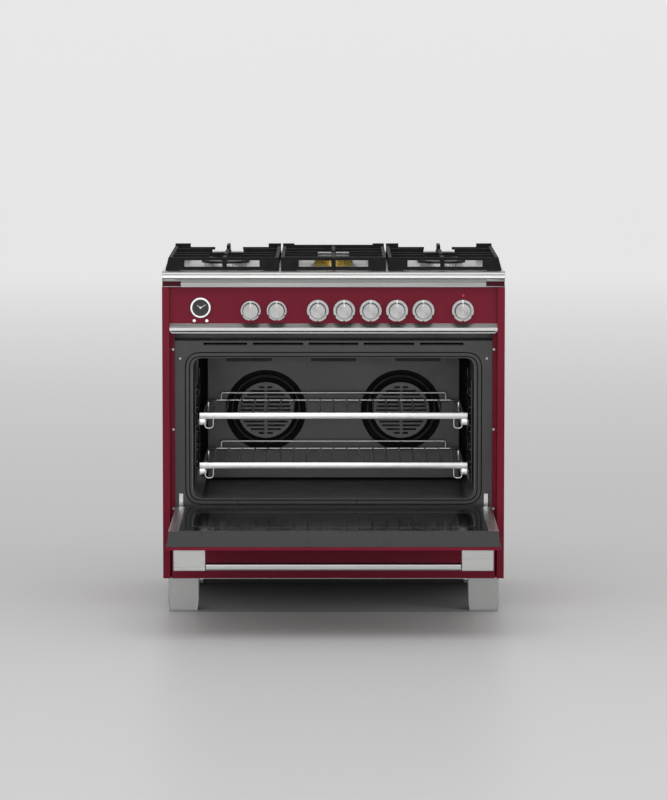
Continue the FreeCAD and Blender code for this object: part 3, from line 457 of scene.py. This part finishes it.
def setting():
    """Pale floor that brightens and glows with distance as painted light, its painted shadow patch, soft
    lights and the camera.
    """
    clear_selection()
    bpy.ops.mesh.primitive_plane_add(size=1, location=(0, 0, 0))
    floor = bpy.context.object
    floor.name = "studio_floor"
    floor_span, glow_starts, glow_full = 6000, 1.0, 12.0
    floor.scale = (floor_span, floor_span, 1)
    bpy.ops.object.transform_apply(location=True, rotation=True, scale=True)
    # The floor's colour lightens and its emission rises with distance behind the range: painted light, a
    # glow from no lamp.
    pale = surface("studio_floor_painted_glow", (0.62, 0.62, 0.62), 0.4, specular=0.1)
    shade(pale, distance_back(pale, glow_starts, glow_full), (0.62, 0.62, 0.62), (0.95, 0.95, 0.95),
          0.0, 1.0)
    shader_of(pale).inputs["Emission Color"].default_value = (1, 1, 1, 1)
    spread(pale, distance_back(pale, glow_starts, glow_full), "Emission Strength", 0.0, 0.2, 0.0, 1.0)
    floor.data.materials.append(pale)
    # A dark plane on the floor under the range, darkest towards the back: painted shadow of the range's
    # body.
    bpy.ops.mesh.primitive_plane_add(size=1, location=(0, front_plane + 0.297, 0.0003))
    painted_shadow_patch = bpy.context.object
    painted_shadow_patch.name = "painted_shadow_under_range"
    painted_shadow_patch.scale = (0.87, 0.59, 1)
    bpy.ops.object.transform_apply(location=True, rotation=True, scale=True)
    shadow_paint = surface("studio_floor_painted_shadow", (0.04, 0.04, 0.04), 0.6, specular=0.0)
    deepest = 0.42
    shade(shadow_paint, distance_back(shadow_paint, front_plane, deepest), (0.5, 0.5, 0.5), (0.04, 0.04, 0.04), 0.0, 1.0)
    painted_shadow_patch.data.materials.append(shadow_paint)
    for name, place, size, power, aim in (
            ("overhead_softbox", (0, -1.6, 4.2), (5.0, 2.4), 60, (0, 0.0, 0.5)),
            ("front_softbox", (-1.2, -7.5, 2.4), (4.5, 2.6), 85, (0, 0, 0.45)),
            ("low_softbox", (0, -5.5, 0.75), (7.0, 1.4), 62, (0, 0, 0.2)),
            ("side_softbox", (4.5, -3.5, 2.2), (2.0, 3.0), 26, (0, 0, 0.5))):
        light = bpy.data.lights.new(name, "AREA")
        light.shape = "RECTANGLE"
        light.size, light.size_y = size
        light.energy = power
        lamp = bpy.data.objects.new(name, light)
        bpy.context.scene.collection.objects.link(lamp)
        lamp.location = place
        lamp.rotation_euler = (Vector(aim) - Vector(place)).to_track_quat("-Z", "Y").to_euler()
    world = bpy.data.worlds.new("studio_air")
    world.use_nodes = True
    air = world.node_tree
    direction = air.nodes.new("ShaderNodeTexCoord")
    parts = air.nodes.new("ShaderNodeSeparateXYZ")
    brighter = air.nodes.new("ShaderNodeMapRange")
    for key, value in (("From Min", -0.6), ("From Max", 0.8), ("To Min", 0.42), ("To Max", 0.78)):
        brighter.inputs[key].default_value = value
    air.links.new(direction.outputs["Generated"], parts.inputs["Vector"])
    air.links.new(parts.outputs["Y"], brighter.inputs["Value"])
    air.links.new(brighter.outputs["Result"], air.nodes["Background"].inputs["Strength"])
    air.nodes["Background"].inputs["Color"].default_value = (1, 1, 1, 1)
    bpy.context.scene.world = world
    bpy.context.scene.view_settings.view_transform = "Standard"

    camera_distance, camera_height, aim_height = 10.4, 1.654, 0.563
    camera = bpy.data.objects.new("camera", bpy.data.cameras.new("camera"))
    bpy.context.scene.collection.objects.link(camera)
    camera.data.lens = 179.3
    camera.data.clip_end = 4000
    camera.location = (0, front_plane - camera_distance, camera_height)
    aim = Vector((0, front_plane, aim_height))
    camera.rotation_euler = (aim - camera.location).to_track_quat("-Z", "Y").to_euler()
    bpy.context.scene.camera = camera


setting()

# ---------------------------------------------------------------- sheet metal and castings

for node_name, edge, finish in (
        ("side_panel_left", 0.0006, None), ("side_panel_right", 0.0006, None),
        ("kick_panel", 0.0006, None), ("front_legs", 0.0012, "upright_steel"),
        ("oven_front_frame", 0.0006, None), ("control_ledge", 0.0005, None),
        ("rear_vent_strip", 0.001, None),
        ("door_core", 0.001, None), ("door_side_channels", 0.0008, "deep_steel"),
        ("door_outer_panel", 0.0008, None), ("door_handle", 0.0015, None),
        ("grate_left", 0.0016, None), ("grate_right", 0.0016, None),
        ("grate_centre", 0.0016, None), ("burner_crowns", 0.0004, None),
        ("centre_burner_crown", 0.0004, None), ("hinge_receivers", 0.0008, None),
        ("upper_slide_middle", 0.0008, None), ("lower_slide_middle", 0.0008, None)):
    softened(node_name, edge, finish)

# The hob's top gets a much lighter copy of the brushed steel than its rolled nose: painted light on the top
# faces.
hob = softened("hob_top", 0.0006, "painted_light_top_steel")
nose_depth = 0.016
refinish(hob, "nose_steel", lambda middle, normal: middle.y < hob_low.y + nose_depth)
panel = softened("control_panel", 0.0003)
# The top band of the control panel, under the hob's overhang, gets the darker copy of the red: painted shade
# of the overhang.
painted_shade_band = 0.0125
refinish(panel, "painted_shade_red", lambda middle, normal: middle.z > panel_high.z - painted_shade_band)


# ---------------------------------------------------------------- oven inside

baffle = softened("fan_baffle", 0, merge=False)
fan_height = sum(corner.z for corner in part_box("fan_impeller_right")) / 2
fan_offset = sum(corner.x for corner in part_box("fan_impeller_right")) / 2
guard_radius = 0.0765


opening_radius = 0.109


def from_fan(middle):
    return math.hypot(abs(middle.x) - fan_offset, middle.z - fan_height)


refinish(baffle, "guard_steel", lambda middle, normal: from_fan(middle) < guard_radius + 0.001)
# The arms across the fan opening get black enamel: painted shade of the opening behind them.
refinish(baffle, "black_enamel",
         lambda middle, normal: guard_radius + 0.001 <= from_fan(middle) < opening_radius)
cavity = softened("oven_cavity", 0)
# The cavity's faces behind the baffle get black enamel instead of the oven enamel: painted shade of the
# recess.
refinish(cavity, "black_enamel", lambda middle, normal: middle.y > baffle_high.y - 0.03)
for node_name in ("fan_impeller_left", "fan_impeller_right", "fan_motors"):
    nodes[node_name].data.materials[0] = finishes["element"]
nodes["side_ladders"].data.materials[0] = finishes["guard_steel"]
nodes["frame_screws"].data.materials[0] = finishes["knob_steel"]

cavity_floor_level = cavity_low.z + 0.0015
bead_back = baffle_low.y - 0.03
bead = wire("floor_bead", [(-0.30, 0.01, cavity_floor_level), (0.30, 0.01, cavity_floor_level),
                           (0.30, bead_back, cavity_floor_level), (-0.30, bead_back, cavity_floor_level)],
            0.0024, bend=0.14, closed=True)
finish_piece(bead, "chassis", "cavity_enamel")

seal_low, seal_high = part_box("door_seal")
seal_middle = (seal_low.y + seal_high.y) / 2
beads = [wire("seal_bead", rectangle_route(seal_low, seal_high, seal_middle, inset), 0.00134,
              bend=corner, closed=True) for inset, corner in ((0.0016, 0.042), (0.0124, 0.03))]
finish_piece(joined("seal_beads", beads), "chassis", "seal", stands_for=("door_seal",))


# ---------------------------------------------------------------- wire racks

rail_height, rail_depth, rail_below_fence = 0.0165, 0.003, 0.0195
rack_depth = 0.35
hook_reach = (0.0145, 0.0365)
frame_wire, rod_wire, fence_wire, hook_wire = 0.003, 0.002, 0.0025, 0.002
rods, rod_pitch = 19, 0.0357


def wire_rack(name):
    """One shelf: front rail, bent frame wire, rods that dip behind the rail, fence, hooks and slides."""
    low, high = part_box(name + "_rack")
    plane = high.z - rail_below_fence
    wire_level = plane - frame_wire
    front_face, rear_wire = low.y, low.y + rack_depth
    frame_half = high.x - 0.012
    parts = [block("rail", (low.x, front_face, plane - rail_height),
                   (high.x, front_face + rail_depth, plane), 0.0006)]
    parts.append(wire("frame", [(-frame_half, front_face + 0.002, wire_level),
                                (-frame_half, rear_wire, wire_level), (frame_half, rear_wire, wire_level),
                                (frame_half, front_face + 0.002, wire_level)], frame_wire, bend=0.028))
    rod_level = wire_level + 0.0008
    for count in range(rods):
        x = (count - (rods - 1) / 2) * rod_pitch
        parts.append(wire("rod", [(x, front_face + 0.0045, plane - 0.013),
                                  (x, front_face + 0.007, plane - 0.0045),
                                  (x, front_face + 0.030, rod_level),
                                  (x, rear_wire, rod_level)], rod_wire, bend=0.008))
    fence_half = frame_half - 0.036
    fence_top = high.z - fence_wire
    parts.append(wire("fence", [(-fence_half, rear_wire, wire_level), (-fence_half, rear_wire, fence_top),
                                (fence_half, rear_wire, fence_top),
                                (fence_half, rear_wire, wire_level)], fence_wire, bend=0.006))
    slide_top = plane - rail_height - 0.0025
    for side in (-1, 1):
        ends = [side * (high.x - reach) for reach in hook_reach]
        parts.append(wire("hook", [(ends[0], front_face + 0.0022, plane - rail_height + 0.001),
                                   (ends[0], front_face + 0.0022, low.z + 0.002),
                                   (ends[1], front_face + 0.0022, low.z + 0.002),
                                   (ends[1], front_face + 0.0022, plane - rail_height + 0.001)],
                          hook_wire, bend=0.012))
        x0, x1 = sorted((side * (high.x - 0.0112), side * (high.x - 0.0177)))
        parts.append(block("member", (x0, front_face + 0.005, slide_top - 0.015),
                           (x1, front_face + rack_depth, slide_top), 0.0008))
        x0, x1 = sorted((side * high.x, side * (high.x - 0.015)))
        parts.append(block("slide_end", (x0, front_face + 0.0002, slide_top - 0.0135),
                           (x1, front_face + 0.0035, slide_top + 0.003), 0.0008))
        for y in (front_face + 0.033, rear_wire - 0.06):
            x0, x1 = sorted((side * (high.x - 0.0122), side * (high.x - 0.0167)))
            parts.append(block("web", (x0, y, slide_top - 0.001), (x1, y + 0.02, plane - 0.0022), 0.0005))
    piece = joined(name + "_rack_wires", parts)
    return finish_piece(piece, body_of_node[name + "_rack"], "rack_wire", stands_for=(name + "_rack",))


for rack_name in ("lower", "upper"):
    wire_rack(rack_name)


# ---------------------------------------------------------------- door glass

glass_low, glass_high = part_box("door_glass_panes")
print_level = glass_high.z - 0.0003
hinge_side = glass_high.y
border = [(glass_low.x + 0.03, hinge_side - 0.112), (glass_high.x - 0.03, hinge_side - 0.112),
          (glass_high.x - 0.03, glass_low.y + 0.06), (glass_low.x + 0.03, glass_low.y + 0.06)]
print_line = wire("glass_border", [(x, y, print_level) for x, y in border], 0.0009, bend=0.05, closed=True)
finish_piece(print_line, "oven_door", "glass", "glass_print")


# ---------------------------------------------------------------- strip under the hob

strip_low, strip_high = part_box("panel_trim_strip")
window_low, window_high = strip_low.z + 0.0025, strip_low.z + 0.0145
window_reach = strip_high.x - 0.049
front_face, back_face = strip_low.y, strip_low.y + 0.0015


def folded_strip():
    """The middle length, pressed in along a line at half its height."""
    strip = block("strip", (-window_reach, front_face, strip_low.z),
                  (window_reach, back_face, strip_high.z), 0.0001, 1)
    fold = (strip_low.z + strip_high.z) / 2 + 0.0005
    make_active(strip)
    bpy.ops.object.mode_set(mode="EDIT")
    bpy.ops.mesh.select_all(action="SELECT")
    bpy.ops.mesh.bisect(plane_co=(0, 0, fold), plane_no=(0, 0, 1))
    bpy.ops.object.mode_set(mode="OBJECT")
    for vertex in strip.data.vertices:
        vertex.select = abs(vertex.co.z - fold) < 0.0001
    bpy.ops.object.mode_set(mode="EDIT")
    bpy.ops.mesh.select_mode(type="VERT")
    bpy.ops.transform.translate(value=(0, 0.0006, 0))
    bpy.ops.object.mode_set(mode="OBJECT")
    smooth(strip, 3)
    return strip


lengths = [folded_strip()]
lengths.append(block("shelf", (-strip_high.x + 0.0185, front_face + 0.0016, strip_low.z),
                     (strip_high.x - 0.0185, strip_high.y, strip_low.z + 0.0015), 0.0003))
for side in (-1, 1):
    for bottom, top in ((strip_low.z, window_low), (window_high, strip_high.z)):
        x0, x1 = sorted((side * window_reach, side * strip_high.x))
        lengths.append(block("end", (x0, front_face, bottom), (x1, back_face, top), 0.0003))
    x0, x1 = sorted((side * (strip_high.x - 0.0015), side * strip_high.x))
    lengths.append(block("tip", (x0, front_face + 0.0001, window_low - 0.001),
                         (x1, back_face - 0.0001, window_high + 0.001), 0.0003))
finish_piece(joined("strip_under_hob", lengths), "chassis", "stainless", "strip_steel",
             stands_for=("panel_trim_strip",))


# ---------------------------------------------------------------- knobs

cap_radius = 0.0203
cap_height = 0.022
painted_shadow_ring_width = 0.0014


def dress_knob(node_name):
    """Turned cap, satin skirt, a thin black ring between them as painted shade of the gap, and white marks.
    """
    low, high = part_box(node_name)
    x, skirt_radius = (low.x + high.x) / 2, (high.x - low.x) / 2
    z = high.z - skirt_radius
    skirt_face = low.y + 0.0003 + cap_height
    knob = softened(node_name, 0.0004)
    finishes[node_name + "_cap"] = lathe_steel(node_name + "_turned_steel", x, z, 0.29)
    refinish(knob, node_name + "_cap", lambda middle, normal:
             math.hypot(middle.x - x, middle.z - z) < cap_radius + 0.0002
             and middle.y < skirt_face - 0.0003)
    refinish(knob, "white_ink", lambda middle, normal:
             abs(middle.x - x) < 0.0026 and middle.z > z + 0.0118 and
             (middle.y < low.y + 0.0002 or (middle.z > z + cap_radius and middle.y < skirt_face - 0.0002)))
    # A thin black ring where the cap meets the skirt: painted shade of the gap between them.
    inside, outside = cap_radius + 0.0001, cap_radius + painted_shadow_ring_width
    painted_shadow_ring = turned("painted_shadow_ring", [(inside, 0), (outside, 0), (outside, 0.0003), (inside, 0.0003)],
                  (x, skirt_face - 0.0003, z), (0, 1, 0), 48)
    finish_piece(painted_shadow_ring, body_of_node[node_name], "knob_steel", "black_plastic")


for node_name in [name for name in nodes if "knob" in name]:
    dress_knob(node_name)


# ---------------------------------------------------------------- clock

softened("clock_bezel", 0.0003)
bezel_low, bezel_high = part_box("clock_bezel")
clock_x, clock_z = (bezel_low.x + bezel_high.x) / 2, (bezel_low.z + bezel_high.z) / 2
dial_face = bezel_high.y - 0.0005
mark_half, mark_inner, mark_outer = 0.0003, 0.0178, 0.0196
marks = []
for hour in range(12):
    turn = math.radians(30 * hour)
    mark = block("mark", (clock_x - mark_half, dial_face - 0.0003, clock_z + mark_inner),
                 (clock_x + mark_half, dial_face + 0.0002, clock_z + mark_outer), 0.0001, 1)
    make_active(mark)
    bpy.ops.object.mode_set(mode="EDIT")
    bpy.ops.mesh.select_all(action="SELECT")
    bpy.ops.transform.rotate(value=turn, orient_axis="Y", center_override=(clock_x, dial_face, clock_z))
    bpy.ops.object.mode_set(mode="OBJECT")
    marks.append(mark)
finish_piece(joined("dial_marks", marks), "chassis", "dial", "grey_ink")
for node_name in ("clock_hour_hand", "clock_minute_hand"):
    nodes[node_name].data.materials[0] = finishes["white_ink"]
